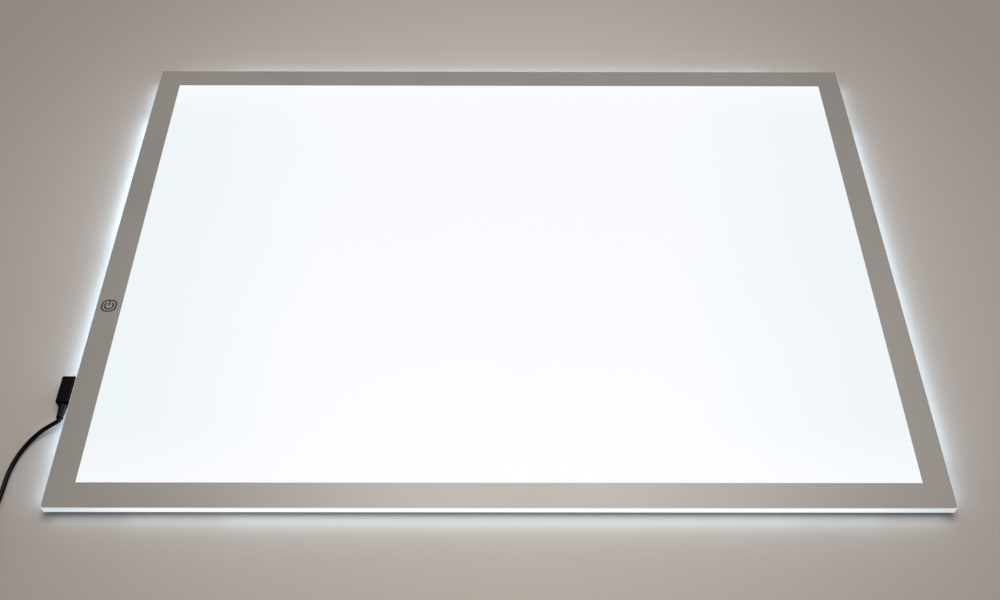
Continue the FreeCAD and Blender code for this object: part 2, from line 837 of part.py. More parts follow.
def inductor():
    """Shielded coil: a rounded square base with a round cap."""
    base_half, base_height, corner = 3, 1.8, 1.2
    cap_radius, cap_top = 2.5, 2.6
    y_coil = -99
    coil = new_body("inductor")
    sketch = new_sketch(coil, "inductor_base_outline")
    rect(sketch, -base_half, base_half, -base_half, base_half)
    base = pad(coil, sketch, base_height, "inductor_base")
    fillet(coil, base, upright, corner, "inductor_corners")
    sketch = new_sketch(coil, "inductor_cap_outline")
    circles(sketch, [(0, 0)], cap_radius)
    pad(coil, sketch, cap_top, "inductor_cap")
    return place(coil, x_board_middle, y_coil, z_parts)


# lower corner of each block: x from the board's middle, y; then its length X and Y
CAPACITORS = (
    (-2.6, -108.5, 1.6, 3.2),
    (1.0, -108.5, 1.6, 3.2),
    (-4.4, -79.5, 2.0, 1.25),
    (2.4, -62.5, 2.0, 1.25),
)
RESISTORS = (
    (-3.6, -75.6, 1.6, 0.8),
    (2.0, -75.6, 1.6, 0.8),
    (-3.6, -64.5, 1.6, 0.8),
    (-0.8, -62.0, 1.6, 0.8),
    (-3.6, -60.0, 1.6, 0.8),
    (2.0, -115.5, 1.6, 0.8),
)


def blocks(label, table, height):
    return group(
        label + "s",
        [
            box(f"{label}_{i}", length, width, height, x_board_middle + x, y, z_parts)
            for i, (x, y, length, width) in enumerate(table)
        ],
    )


def touch_electrode():
    """Foil on a foam block, under the printed key."""
    x, y = -size.icon_x + size.touch_shift, -size.icon_y
    foam, foil = size.foam_size, size.foil_thick
    return [
        box(
            "touch_foam",
            foam,
            foam,
            z_sheet - z_parts - foil,
            x - foam / 2,
            y - foam / 2,
            z_parts,
        ),
        box(
            "touch_foil",
            size.foil_x,
            size.foil_y,
            foil,
            x - size.foil_x / 2,
            y - size.foil_y / 2,
            z_sheet - foil,
        ),
    ]


# ---------------------------------------------------------------- power socket
# plan of the bent leaf: x from the socket's face, y from its axis
LEAF_OUTLINE = [
    (3.8, 2.55), (7.0, 1.82), (10.2, 2.55), (10.2, 2.8), (7.0, 2.07), (3.8, 2.8),
]


def power_socket():
    half, middle = size.socket_width / 2, size.socket_height / 2
    socket = new_body("power_socket")
    sketch = new_sketch(socket, "socket_outline")
    rect(sketch, 0, size.socket_length, -half, half)
    case = pad(socket, sketch, size.socket_height, "socket_case")
    fillet(socket, case, upright, size.socket_round, "socket_corners")
    sketch = new_sketch(socket, "socket_bore_circle", "YZ_Plane")
    circles(sketch, [(0, middle)], size.socket_bore)
    pocket(socket, sketch, size.socket_depth, "socket_bore")
    sketch = new_sketch(socket, "socket_pin_circle", "YZ_Plane")
    circles(sketch, [(0, middle)], size.socket_pin_radius)
    pocket(socket, sketch, None, "socket_pin_hole")
    sketch = new_sketch(socket, "socket_contact_slot", "XZ_Plane")
    rect(
        sketch,
        size.contact_slot_near,
        size.contact_slot_far,
        middle - size.contact_slot_height / 2,
        middle + size.contact_slot_height / 2,
    )
    pocket(socket, sketch, half, "socket_contact_window", reverse=False)
    return place(socket, x_socket, y_socket, z_axis - middle)


def socket_pin():
    pin = new_body("socket_pin")
    sketch = new_sketch(pin, "pin_circle", "YZ_Plane")
    circles(sketch, [(0, 0)], size.socket_pin_radius)
    rod = pad(pin, sketch, size.socket_pin_length, "pin_rod")
    fillet(
        pin,
        rod,
        lambda edge: abs(edge.BoundBox.XMax) < 1e-6,
        size.socket_pin_nose,
        "pin_nose",
    )
    return place(pin, x_socket + size.socket_pin_start, y_socket, z_axis)


def socket_contact():
    leaf = new_body("socket_contact")
    sketch = new_sketch(leaf, "contact_outline")
    polygon(sketch, LEAF_OUTLINE)
    pad(leaf, sketch, size.contact_width, "contact_leaf")
    return place(leaf, x_socket, y_socket, z_axis - size.contact_width / 2)


# ---------------------------------------------------------------- power plug
def barrel_tube(label, outer, inner, length):
    tube = new_body(label)
    sketch = new_sketch(tube, label + "_rings", "YZ_Plane")
    circles(sketch, [(0, 0)], outer)
    circles(sketch, [(0, 0)], inner)
    pad(tube, sketch, length, label + "_tube")
    return place(tube, x_plug - size.barrel_root, y_socket, z_axis)


def plug_barrel():
    """Sleeve, insulator and tip contact, one inside the other."""
    length, step = size.barrel_root + size.barrel_reach, size.barrel_step
    sleeve_inner = size.barrel_radius - size.barrel_wall
    tip_outer = sleeve_inner - size.insulator_wall
    return [
        barrel_tube("plug_sleeve", size.barrel_radius, sleeve_inner, length),
        barrel_tube("plug_insulator", sleeve_inner, tip_outer, length + step),
        barrel_tube("plug_tip_contact", tip_outer, size.barrel_hole, length - step),
    ]


def plug_moulding():
    middle = size.plug_height / 2
    front = size.plug_length - size.plug_heel  # front end from the barrel's axis
    plug = new_body("plug_moulding")
    sketch = new_sketch(plug, "plug_outline")
    rect(sketch, -size.plug_width, 0, -front, size.plug_heel)
    case = pad(plug, sketch, size.plug_height, "plug_case")
    fillet(plug, case, any_edge, size.plug_round, "plug_edges")
    sketch = new_sketch(plug, "plug_barrel_circle", "YZ_Plane")
    circles(sketch, [(0, middle)], size.barrel_radius + size.barrel_play)
    depth = size.barrel_root + size.barrel_end_play
    pocket(plug, sketch, depth, "plug_barrel_seat", reverse=False)
    sketch = new_sketch(plug, "plug_cable_circle", "XZ_Plane", lift=front)
    circles(sketch, [(cable_shift, middle)], cable_bore)
    pocket(plug, sketch, size.plug_cable_seat, "plug_cable_seat", reverse=False)
    return place(plug, x_plug, y_socket, z_axis - middle)


# places along a boot, as shares of its length
GROOVE_STARTS = (0.22, 0.44, 0.66)
# share past the groove's start, depth
GROOVE_SHAPE = ((0.0, 0.0), (0.012, 0.5), (0.088, 0.5), (0.1, 0.0))
# share along the boot, rise of the bead over the taper
BEAD = ((0.87, 0.0), (0.885, 0.22), (0.905, 0.3), (0.965, 0.3), (0.99, 0.18), (1.0, 0.0))


def relief(label, length, start, end, grooved=False):
    """A tapered boot with a bead at its -Y end, revolved about the cable's axis."""
    slope = (end - start) / length

    def radius_at(share):
        return start + slope * (length * share)

    points = [(cable_bore, 0), (radius_at(0), 0)]
    if grooved:
        for groove in GROOVE_STARTS:
            for step, depth in GROOVE_SHAPE:
                share = groove + step
                points.append((radius_at(share) - depth, -length * share))
    for share, rise in BEAD:
        points.append((radius_at(share) + rise, -length * share))
    points.append((cable_bore, -length))

    boot = new_body(label)
    sketch = new_sketch(boot, label + "_profile")
    polygon(sketch, points)
    turned = boot.newObject("PartDesign::Revolution", label + "_turned")
    turned.Profile = sketch
    turned.ReferenceAxis = (sketch, ["V_Axis"])
    turned.Angle = 360
    doc.recompute()
    return boot


def plug_strain_relief():
    boot = relief(
        "plug_strain_relief", size.relief_length, size.relief_start, size.relief_end
    )
    return place(boot, x_cable, y_boot, z_axis)


# ---------------------------------------------------------------- power cable
usb_rotation = FreeCAD.Rotation(V(0, 0, 1), size.usb_turn.value)
usb_direction = usb_rotation.multVec(V(0, -1, 0))
usb_start = V(-size.usb_x.value, -size.usb_y.value, size.usb_axis.value)

BOOT_POLES = (12.6, 7.6, 3.1, -0.3)  # Y of the first poles from the plug boot's end
USB_POLES = (-8, -4, 0, 4, 8, 12)  # last poles along the end fitting's axis


def power_cable():
    """From the plug, down to the table and forward into the end fitting."""
    x, z = x_cable.value, z_axis.value
    table = size.cable_radius.value  # axis height of a cable that lies on the table
    start = V(x, (y_boot + size.plug_cable_root).value, z)
    y_exit = (y_boot - size.relief_length).value
    poles = [start] + [V(x, y_exit + offset, z) for offset in BOOT_POLES]
    poles += [
        V(x - 0.1, y_exit - 2.4, z - 0.05),
        V(-326.8, -159.5, 5.5),
        V(-334.2, -163.9, 3.9),
        V(-340.6, -171.2, 2.4),
        V(-345.3, -179.6, table + 0.05),
        V(-348.5, -189.4, table),
        V(-350.1, -200.2, table + 0.02),
        V(-350.3, -211.6, table + 0.02),
        V(-350.6, -221.0, table + 0.4),
    ]
    poles += [usb_start + usb_direction * along for along in USB_POLES]
    run = Part.BSplineCurve()
    run.buildFromPoles(poles, False, 3)
    # Inside both boots the run is straight, so those lengths are true lines and the rest
    # is one smooth piece per span.
    knots = run.getKnots()
    path = [Part.LineSegment(run.value(0), run.value(knots[2])).toShape()]
    for low, high in zip(knots[2:-4], knots[3:-3]):
        piece = run.copy()
        piece.segment(low, high)
        path.append(piece.toShape())
    path.append(Part.LineSegment(run.value(knots[-4]), run.value(1)).toShape())
    return pipe("power_cable", path, size.cable_radius, start, V(0, -1, 0))


# ---------------------------------------------------------------- USB end of the lead
# Each piece is built about the fitting's axis, with its tip towards its own -Y.
shell_at = size.usb_relief + size.usb_body_length - size.usb_shell_root
shell_length = size.usb_shell_root + size.usb_shell_reach
shell_half_x = size.usb_shell_width / 2
shell_half_z = size.usb_shell_height / 2
inner_half_x = shell_half_x - size.usb_shell_wall
inner_half_z = shell_half_z - size.usb_shell_wall


def usb_place(obj, along):
    """Puts a piece on the fitting's axis, at a distance along it towards the tip."""
    along = dim(along)
    obj.Placement = FreeCAD.Placement(usb_start + usb_direction * along.value, usb_rotation)
    obj.setExpression(
        "Placement.Base.x", f"-Params.usb_x + {along.text} * sin(Params.usb_turn * 1deg)"
    )
    obj.setExpression(
        "Placement.Base.y", f"-Params.usb_y - {along.text} * cos(Params.usb_turn * 1deg)"
    )
    obj.setExpression("Placement.Base.z", "Params.usb_axis")
    return obj


def usb_strain_relief():
    boot = relief(
        "usb_strain_relief",
        size.usb_relief,
        size.usb_relief_start,
        size.usb_relief_end,
        grooved=True,
    )
    return usb_place(boot, 0)


def usb_moulding():
    moulding = new_body("usb_moulding")
    half = size.usb_body_width / 2
    sketch = new_sketch(moulding, "usb_outline", lift=-size.usb_body_height / 2)
    rect(sketch, -half, half, -size.usb_body_length, 0)
    case = pad(moulding, sketch, size.usb_body_height, "usb_case")
    fillet(moulding, case, any_edge, size.usb_body_round, "usb_edges")
    sketch = new_sketch(moulding, "usb_shell_rect", "XZ_Plane", size.usb_body_length)
    rect(sketch, -shell_half_x, shell_half_x, -shell_half_z, shell_half_z)
    depth = size.usb_shell_root + size.usb_seat_play
    pocket(moulding, sketch, depth, "usb_shell_seat", reverse=False)
    sketch = new_sketch(moulding, "usb_cable_circle", "XZ_Plane")
    circles(sketch, [(0, 0)], cable_bore)
    pocket(moulding, sketch, size.usb_cable_seat, "usb_cable_seat")
    # five shallow grooves above and below
    for n, side in enumerate((1, -1)):
        sketch = new_sketch(
            moulding, f"usb_grip_{n}", lift=side * size.usb_body_height / 2
        )
        for i in range(5):
            y = -size.grip_start - size.grip_pitch * i
            rect(sketch, -size.grip_width / 2, size.grip_width / 2, y - size.grip_groove, y)
        pocket(moulding, sketch, size.grip_depth, f"usb_grip_ribs_{n}", reverse=side < 0)
    return usb_place(moulding, size.usb_relief)


def usb_shell():
    """Rectangular tube with two windows through its top and bottom."""
    window_x, window_half = 2.8, 1.25
    window_near, window_far = 5.2, 7.2  # from the shell's mouth
    shell = new_body("usb_shell")
    sketch = new_sketch(shell, "shell_outline", "XZ_Plane")
    rect(sketch, -shell_half_x, shell_half_x, -shell_half_z, shell_half_z)
    rect(sketch, -inner_half_x, inner_half_x, -inner_half_z, inner_half_z)
    pad(shell, sketch, shell_length, "shell_tube")
    sketch = new_sketch(shell, "shell_windows")
    for x in (-window_x, window_x):
        rect(
            sketch,
            x - window_half,
            x + window_half,
            -shell_length + window_near,
            -shell_length + window_far,
        )
    windows = shell.newObject("PartDesign::Pocket", "shell_window_cuts")
    windows.Profile = sketch
    windows.Type = "ThroughAll"
    windows.Midplane = True
    doc.recompute()
    return usb_place(shell, shell_at)


def usb_tongue():
    tongue = new_body("usb_tongue")
    sketch = new_sketch(tongue, "tongue_outline", lift=-inner_half_z)
    tip = size.usb_tongue_recess - shell_length
    rect(sketch, -inner_half_x, inner_half_x, tip, 0)
    pad(tongue, sketch, size.usb_tongue_thick, "tongue_block")
    return usb_place(tongue, shell_at)


def usb_contacts():
    """Four strips on top of the tongue; the outer two reach nearer the shell's mouth."""
    strips = ((-3.5, 1.8), (-1.0, 2.8), (1.0, 2.8), (3.5, 1.8))  # x, tip from the mouth
    strip_half, strip_end, strip_thick = 0.5, 9.2, 0.12
    contacts = new_body("usb_contacts", many=True)
    tongue_top = size.usb_tongue_thick - inner_half_z
    sketch = new_sketch(contacts, "contact_strips", lift=tongue_top)
    for x, tip in strips:
        rect(
            sketch,
            x - strip_half,
            x + strip_half,
            -shell_length + tip,
            -shell_length + strip_end,
        )
    pad(contacts, sketch, strip_thick, "contact_pads")
    return usb_place(contacts, shell_at)


# ---------------------------------------------------------------- build and export
pieces = [back_cover(), cover_screws(), rubber_feet(), clear_edge_frame()]
pieces += optical_stack()
pieces.append(top_sheet())
for label, side in ROWS:
    pieces += led_strip(label, side)
for label, side in ROWS:
    pieces.append(led_wires(label, side))
icon = power_icon()
pieces += [
    icon,
    border_overlay(icon),
    board_layer("control_board_tape", size.board_tape, z_frame),
    board_layer("control_board", size.board_thick, z_board),
    controller_chip(),
    power_transistor(),
    inductor(),
    blocks("capacitor", CAPACITORS, height=1.2),
    blocks("resistor", RESISTORS, height=0.5),
]
pieces += touch_electrode()
pieces += [power_socket(), socket_pin(), socket_contact()]
pieces += plug_barrel()
pieces += [
    plug_moulding(),
    plug_strain_relief(),
    power_cable(),
    usb_strain_relief(),
    usb_moulding(),
    usb_shell(),
    usb_tongue(),
    usb_contacts(),
]

doc.recompute()
for obj in doc.Objects:
    if "Invalid" in obj.State or "Error" in obj.State:
        raise RuntimeError(f"{obj.Name} failed to recompute: {obj.State}")
for piece in pieces:
    shape = piece.Shape
    if shape.isNull() or not shape.isValid() or not shape.Solids:
        raise RuntimeError(f"{piece.Label}: bad shape")
    if min(solid.Volume for solid in shape.Solids) <= 0:
        raise RuntimeError(f"{piece.Label}: a solid has no volume")

os.makedirs("parts", exist_ok=True)
for piece in pieces:
    shape = piece.Shape
    if len(shape.Solids) == 1:
        shape = shape.Solids[0]
    shape.exportStep(os.path.join("parts", piece.Label + ".step"))
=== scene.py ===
"""A flat light box lying on a table, its lit window facing up, with its power lead.

Metres, +Z up. The panel is centred on the origin with its long sides along X; the front is -Y
and the left is -X. The plug is on the left side, and its cable runs forward to a USB plug.
The CAD pieces get procedural materials, and the cable is rebuilt as a finer round tube.
"""

import math

import bpy
from mathutils import Matrix, Vector

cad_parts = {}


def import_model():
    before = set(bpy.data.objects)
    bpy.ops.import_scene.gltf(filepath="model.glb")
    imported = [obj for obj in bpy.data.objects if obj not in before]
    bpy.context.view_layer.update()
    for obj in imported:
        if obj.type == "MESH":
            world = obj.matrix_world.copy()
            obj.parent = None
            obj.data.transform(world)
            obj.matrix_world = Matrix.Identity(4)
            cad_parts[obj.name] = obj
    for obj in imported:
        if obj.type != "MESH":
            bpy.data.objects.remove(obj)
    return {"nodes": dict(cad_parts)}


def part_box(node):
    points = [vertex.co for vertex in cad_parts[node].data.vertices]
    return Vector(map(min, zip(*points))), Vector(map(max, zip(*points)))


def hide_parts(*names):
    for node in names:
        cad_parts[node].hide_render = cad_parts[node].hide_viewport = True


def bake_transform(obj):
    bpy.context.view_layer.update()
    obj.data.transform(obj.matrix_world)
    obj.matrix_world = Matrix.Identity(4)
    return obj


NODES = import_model()["nodes"]
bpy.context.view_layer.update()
scene = bpy.context.scene
scene.view_settings.view_transform = "Standard"
scene.view_settings.look = "None"

MM = 0.001
HALF_LENGTH, HALF_WIDTH = 0.317, 0.230  # of the panel, along X and along Y


# ------------------------------------------------------------------ material helpers
def srgb(red, green, blue):
    """An sRGB colour in 0-255 as linear light."""

    def linear(c):
        c /= 255
        return c / 12.92 if c <= 0.04045 else ((c + 0.055) / 1.055) ** 2.4

    return (linear(red), linear(green), linear(blue), 1.0)


def scaled(colour, factor, lift=0.0):
    return tuple(min(1, c * factor + lift) for c in colour[:3]) + (1,)


class Look:
    """A material under construction, with short names for its nodes."""

    def __init__(self, name):
        self.material = bpy.data.materials.new(name)
        self.material.use_nodes = True
        self.tree = self.material.node_tree
        self.tree.nodes.clear()
        output = self.add("ShaderNodeOutputMaterial")
        self.bsdf = self.add("ShaderNodeBsdfPrincipled")
        self.link(self.bsdf.outputs["BSDF"], output.inputs["Surface"])
        self.place = self.add("ShaderNodeTexCoord").outputs["Object"]
        self.relief = None

    def add(self, kind, **props):
        node = self.tree.nodes.new(kind)
        for key, value in props.items():
            setattr(node, key, value)
        return node

    def link(self, source, target):
        self.tree.links.new(source, target)

    def feed(self, value, socket):
        """Link a socket, or set a plain value."""
        if isinstance(value, bpy.types.NodeSocket):
            self.link(value, socket)
        else:
            socket.default_value = value

    def noise(self, scale, detail=3.0, rough=0.55, stretch=None, distort=0.0):
        node = self.add("ShaderNodeTexNoise")
        node.inputs["Scale"].default_value = scale
        node.inputs["Detail"].default_value = detail
        node.inputs["Roughness"].default_value = rough
        node.inputs["Distortion"].default_value = distort
        place = self.place
        if stretch:
            mapping = self.add("ShaderNodeMapping")
            mapping.inputs["Scale"].default_value = stretch
            self.link(place, mapping.inputs["Vector"])
            place = mapping.outputs["Vector"]
        self.link(place, node.inputs["Vector"])
        return node.outputs["Fac"]

    def cells(self, feature, **settings):
        """Distance to the nearest Voronoi cell centre."""
        node = self.add("ShaderNodeTexVoronoi", feature=feature)
        for key, value in settings.items():
            node.inputs[key].default_value = value
        self.link(self.place, node.inputs["Vector"])
        return node.outputs["Distance"]

    def ramp(self, value, low=0.3, high=0.7, to_low=0.0, to_high=1.0):
        """Smoothly map low..high to to_low..to_high; the defaults suit a noise."""
        node = self.add("ShaderNodeMapRange")
        node.interpolation_type = "SMOOTHSTEP"
        self.feed(value, node.inputs["Value"])
        node.inputs["From Min"].default_value = low
        node.inputs["From Max"].default_value = high
        node.inputs["To Min"].default_value = to_low
        node.inputs["To Max"].default_value = to_high
        return node.outputs["Result"]

    def math(self, operation, a, b=0.0, clamp=False):
        node = self.add("ShaderNodeMath", operation=operation, use_clamp=clamp)
        self.feed(a, node.inputs[0])
        self.feed(b, node.inputs[1])
        return node.outputs[0]

    def times(self, a, b):
        return self.math("MULTIPLY", a, b)

    def plus(self, a, b, clamp=False):
        return self.math("ADD", a, b, clamp)

    def size(self, value):
        return self.math("ABSOLUTE", value)

    def mix(self, factor, a, b):
        node = self.add("ShaderNodeMix", data_type="RGBA")
        self.feed(factor, node.inputs["Factor"])
        # sockets 6, 7 and output 2 are the colour ones
        self.feed(a, node.inputs[6])
        self.feed(b, node.inputs[7])
        return node.outputs[2]

    def tinted(self, colour, toward, mask, amount):
        """A colour pulled toward another where the mask is high."""
        return self.mix(self.times(mask, amount), colour, toward)

    def xyz(self):
        node = self.add("ShaderNodeSeparateXYZ")
        self.link(self.place, node.inputs[0])
        return node.outputs

    def normal(self):
        node = self.add("ShaderNodeSeparateXYZ")
        self.link(self.add("ShaderNodeNewGeometry").outputs["Normal"], node.inputs[0])
        return node.outputs

    def edges(self, radius):
        """1 along edges and 0 on flats."""
        bevel = self.add("ShaderNodeBevel", samples=4)
        bevel.inputs["Radius"].default_value = radius
        dot = self.add("ShaderNodeVectorMath", operation="DOT_PRODUCT")
        self.link(bevel.outputs["Normal"], dot.inputs[0])
        self.link(self.add("ShaderNodeNewGeometry").outputs["Normal"], dot.inputs[1])
        return self.ramp(dot.outputs["Value"], low=0.9, high=0.999, to_low=1.0, to_high=0.0)

    def rubbed(self, radius, scale, detail, low, high):
        """Patches of wear along the edges."""
        patches = (self.edges(radius), self.ramp(self.noise(scale, detail), low, high))
        return self.times(*patches)

    def bump(self, height, distance, strength):
        """Add a layer of relief, distance in metres, over any earlier one."""
        node = self.add("ShaderNodeBump")
        node.inputs["Strength"].default_value = strength
        node.inputs["Distance"].default_value = distance
        self.feed(height, node.inputs["Height"])
        if self.relief is not None:
            self.link(self.relief, node.inputs["Normal"])
        self.relief = node.outputs["Normal"]

    def finish(self, **inputs):
        """Connect the relief and the shader inputs, whose spaces are written as underscores."""
        self.link(self.relief, self.bsdf.inputs["Normal"])
        for key, value in inputs.items():
            self.feed(value, self.bsdf.inputs[key.replace("_", " ")])
        return self.material


def moulded(
    name, colour, rough=0.45, grain=900, depth=0.00004, wear=0.35, spread=0.25, shine=0.5
):
    """Moulded plastic or rubber: fine grain, uneven sheen, paler worn edges."""
    look = Look(name)
    patch = look.noise(scale=35, detail=4)
    fine = look.noise(scale=grain, detail=2)
    pale = scaled(colour, 1 + spread)
    base = look.mix(look.ramp(patch), scaled(colour, 1 - spread), pale)
    base = look.tinted(base, pale, mask=look.ramp(fine, low=0.45, high=0.8), amount=0.25)
    rub = look.rubbed(radius=0.0004, scale=160, detail=3, low=0.4, high=0.7)
    base = look.tinted(base, scaled(colour, 2.2, lift=0.02 * shine), mask=rub, amount=wear)
    streaks = look.noise(scale=60, detail=5, stretch=(1, 0.15, 1))
    scuff = look.ramp(streaks, low=0.35, high=0.75, to_low=rough - 0.07, to_high=rough + 0.1)
    look.bump(fine, distance=depth, strength=0.5)
    look.bump(look.noise(scale=grain * 0.22, detail=3), distance=depth * 2, strength=0.3)
    return look.finish(Base_Color=base, Roughness=scuff, Specular_IOR_Level=shine)


def metal(name, colour, rough, along=(1, 12, 12)):
    """Plated metal: drawn lines, smudges and paler edges."""
    look = Look(name)
    lines = look.noise(scale=900, detail=3, stretch=along)
    smudge = look.noise(scale=120, detail=4)
    base = look.mix(look.ramp(smudge, low=0.35), scaled(colour, 0.88), colour)
    base = look.tinted(base, (0.9, 0.89, 0.87, 1), mask=look.edges(radius=0.00025), amount=0.5)
    sheen = look.plus(
        look.ramp(lines, to_low=rough - 0.06, to_high=rough + 0.08),
        look.ramp(smudge, low=0.35, high=0.85, to_high=0.07),
    )
    look.bump(lines, distance=0.00001, strength=0.35)
    return look.finish(Base_Color=base, Roughness=sheen, Metallic=1.0)


# ------------------------------------------------------------------ the lit window and edges
def edge_light(look):
    """Colour of the glowing edge: white mid-side, bluer and dimmer at the corners."""
    x, y, z = look.xyz()
    size_x, size_y = look.size(x), look.size(y)
    # how far along its own side a point is, 0 in the middle and 1 at the corner
    along_x = look.math("DIVIDE", size_x, HALF_LENGTH)
    along_y = look.math("DIVIDE", size_y, HALF_WIDTH)
    long_side = look.math("LESS_THAN", look.size(look.normal()[0]), 0.7)
    end = look.plus(
        look.times(long_side, along_x),
        look.times(look.math("SUBTRACT", 1.0, long_side), along_y),
    )
    fade = look.ramp(end, low=0.76, high=1.0)
    cloud = look.ramp(look.noise(scale=28), to_low=-0.06, to_high=0.06)
    tint = look.plus(fade, cloud, clamp=True)
    colour = look.mix(tint, srgb(249, 252, 255), srgb(210, 221, 225))
    # the lower part is a little bluer, where the guide's light doesn't reach it directly
    lower = look.ramp(z, low=0.0044, high=0.0072, to_low=1.0, to_high=0.0)
    blueness = look.ramp(end, low=0.5, high=1.0, to_low=0.05, to_high=0.3)
    return look.tinted(colour, srgb(186, 200, 210), mask=lower, amount=blueness)


def opal_window():
    """Lit opal sheet: cooler toward its left and right ends, whiter near the LED rows."""
    tint_reach = 0.297  # where the tint is full, from the middle along X
    look = Look("opal_window")
    x, y, _ = look.xyz()
    side = look.math("LESS_THAN", look.size(look.normal()[2]), 0.5)
    outward = look.math("DIVIDE", look.size(x), tint_reach)
    near_led = look.ramp(look.size(y), low=0.155, high=0.212)
    tint = look.times(
        look.ramp(outward, low=0.45, high=1.0),
        look.ramp(near_led, low=0, high=1, to_low=1.0, to_high=0.55),
    )
    cloud = look.ramp(look.noise(scale=7), to_low=-0.07, to_high=0.07)
    tint = look.plus(tint, cloud, clamp=True)
    window = look.mix(tint, srgb(249, 251, 255), srgb(240, 247, 250))
    window = look.tinted(window, srgb(252, 253, 255), mask=near_led, amount=0.5)
    speck = look.noise(scale=2600, detail=2)
    look.bump(speck, distance=0.00002, strength=0.25)
    return look.finish(
        Base_Color=(0.06, 0.062, 0.065, 1),
        Roughness=look.ramp(speck, to_low=0.28, to_high=0.4),
        Specular_IOR_Level=0.08,
        Emission_Color=look.mix(side, window, edge_light(look)),
        Emission_Strength=0.925,
    )


def clear_edge():
    look = Look("clear_glowing_edge")
    streak = look.noise(scale=260, detail=4, stretch=(1, 1, 7))
    look.bump(streak, distance=0.00003, strength=0.3)
    return look.finish(
        Base_Color=(0.12, 0.13, 0.14, 1),
        Roughness=look.ramp(streak, to_low=0.12, to_high=0.26),
        Specular_IOR_Level=0.4,
        Emission_Color=edge_light(look),
        Emission_Strength=look.ramp(streak, low=0.25, high=0.75, to_low=0.93, to_high=0.97),
    )


# ------------------------------------------------------------------ border, icon and back cover
def border_print():
    """Warm grey print with fine grain, mottling and paler worn edges."""
    look = Look("border_print")
    grain = look.noise(scale=4200, detail=2)
    mottle = look.noise(scale=420, detail=4)
    cloud = look.noise(scale=9)
    base = look.mix(look.ramp(cloud), srgb(126, 123, 121), srgb(133, 129, 126))
    grain_mask = look.ramp(grain, low=0.35)
    base = look.tinted(base, srgb(150, 145, 140), mask=grain_mask, amount=0.3)
    mottle_mask = look.ramp(mottle, low=0.5, high=0.75)
    base = look.tinted(base, srgb(123, 118, 115), mask=mottle_mask, amount=0.1)
    rub = look.rubbed(radius=0.0005, scale=90, detail=4, low=0.45, high=0.7)
    base = look.tinted(base, srgb(176, 170, 164), mask=rub, amount=0.4)
    look.bump(grain, distance=0.00001, strength=0.25)
    sheen = look.ramp(cloud, to_low=0.395, to_high=0.415)
    return look.finish(Base_Color=base, Roughness=sheen, Specular_IOR_Level=0.8)


def icon_ink():
    look = Look("icon_ink")
    grain = look.noise(scale=3800, detail=2)
    base = look.mix(look.ramp(grain), srgb(22, 16, 15), srgb(32, 25, 23))
    look.bump(grain, distance=0.00002, strength=0.3)
    return look.finish(Base_Color=base, Roughness=0.42, Specular_IOR_Level=0.3)


def slate_and_painted_shade_cover():
    """Slate blue with a fine leather-like texture, faint scratches and worn edges; its dark
    tone is partly painted shade, for the shadow under the panel's overhanging edge.
    """
    look = Look("slate_and_painted_shade_cover")
    cell = look.cells("SMOOTH_F1", Scale=1100, Smoothness=0.7)
    fine = look.noise(scale=2400, detail=2)
    cloud = look.noise(scale=6, detail=4)
    # partly painted shade: these slate tones are made dark to stand in for the shadow band
    # under the panel's overhanging edge
    base = look.mix(look.ramp(cloud), srgb(88, 97, 116), srgb(101, 109, 128))
    cell_mask = look.ramp(cell, low=0.1, high=0.6)
    base = look.tinted(base, srgb(120, 128, 146), mask=cell_mask, amount=0.4)
    lines = look.noise(scale=40, detail=6, rough=0.7, stretch=(0.3, 5, 1))
    scratch = look.ramp(lines, low=0.66, high=0.74)
    base = look.tinted(base, srgb(112, 116, 122), mask=scratch, amount=0.22)
    rub = look.rubbed(radius=0.0007, scale=70, detail=4, low=0.35, high=0.65)
    base = look.tinted(base, srgb(118, 123, 130), mask=rub, amount=0.5)
    look.bump(cell, distance=0.00008, strength=0.6)
    look.bump(fine, distance=0.00003, strength=0.4)
    return look.finish(Base_Color=base, Roughness=look.ramp(cloud, to_low=0.5, to_high=0.62))


# ------------------------------------------------------------------ inner pieces
def green_solder_mask():
    """Green circuit board with paler raised traces along a noise contour."""
    look = Look("green_solder_mask")
    trace = look.noise(scale=330, detail=1, rough=0.3, distort=2.5)
    contour = look.size(look.math("SUBTRACT", trace, 0.5))
    lane = look.ramp(contour, low=0.012, high=0.022, to_low=1, to_high=0)
    base = look.mix(lane, srgb(22, 84, 50), srgb(46, 120, 74))
    look.bump(lane, distance=0.00003, strength=0.5)
    sheen = look.ramp(look.noise(scale=900), to_low=0.25, to_high=0.4)
    return look.finish(Base_Color=base, Roughness=sheen)


def light_guide_acrylic():
    """Glossy acrylic with an almost regular grid of matt, brighter dots."""
    look = Look("light_guide_acrylic")
    centre_distance = look.cells("F1", Scale=420, Randomness=0.1)
    spot = look.ramp(centre_distance, low=0.22, high=0.3, to_low=1, to_high=0)
    look.bump(spot, distance=0.00003, strength=0.5)
    return look.finish(
        Base_Color=look.mix(spot, srgb(226, 240, 246), srgb(252, 253, 255)),
        Roughness=look.ramp(spot, low=0, high=1, to_low=0.08, to_high=0.5),
        Emission_Color=srgb(236, 244, 252),
        Emission_Strength=look.ramp(spot, low=0, high=1, to_low=0.5, to_high=0.9),
    )


def led_package():
    """Cream package that glows on its front and back faces."""
    full_glow = 3.0
    look = Look("led_package")
    facing = look.size(look.normal()[1])
    speck = look.noise(scale=6000, detail=2)
    look.bump(speck, distance=0.00001, strength=0.4)
    return look.finish(
        Base_Color=look.mix(look.ramp(speck), srgb(240, 236, 214), srgb(250, 242, 190)),
        Roughness=0.4,
        Emission_Color=srgb(244, 248, 255),
        Emission_Strength=look.times(facing, full_glow),
    )


# ------------------------------------------------------------------ painting the CAD pieces
def paint(material, *nodes):
    for node in nodes:
        for slot in NODES[node].material_slots:
            slot.material = material


def paint_moulded(name, colour, *nodes, **settings):
    material = moulded(name, colour, **settings)
    paint(material, *nodes)
    return material


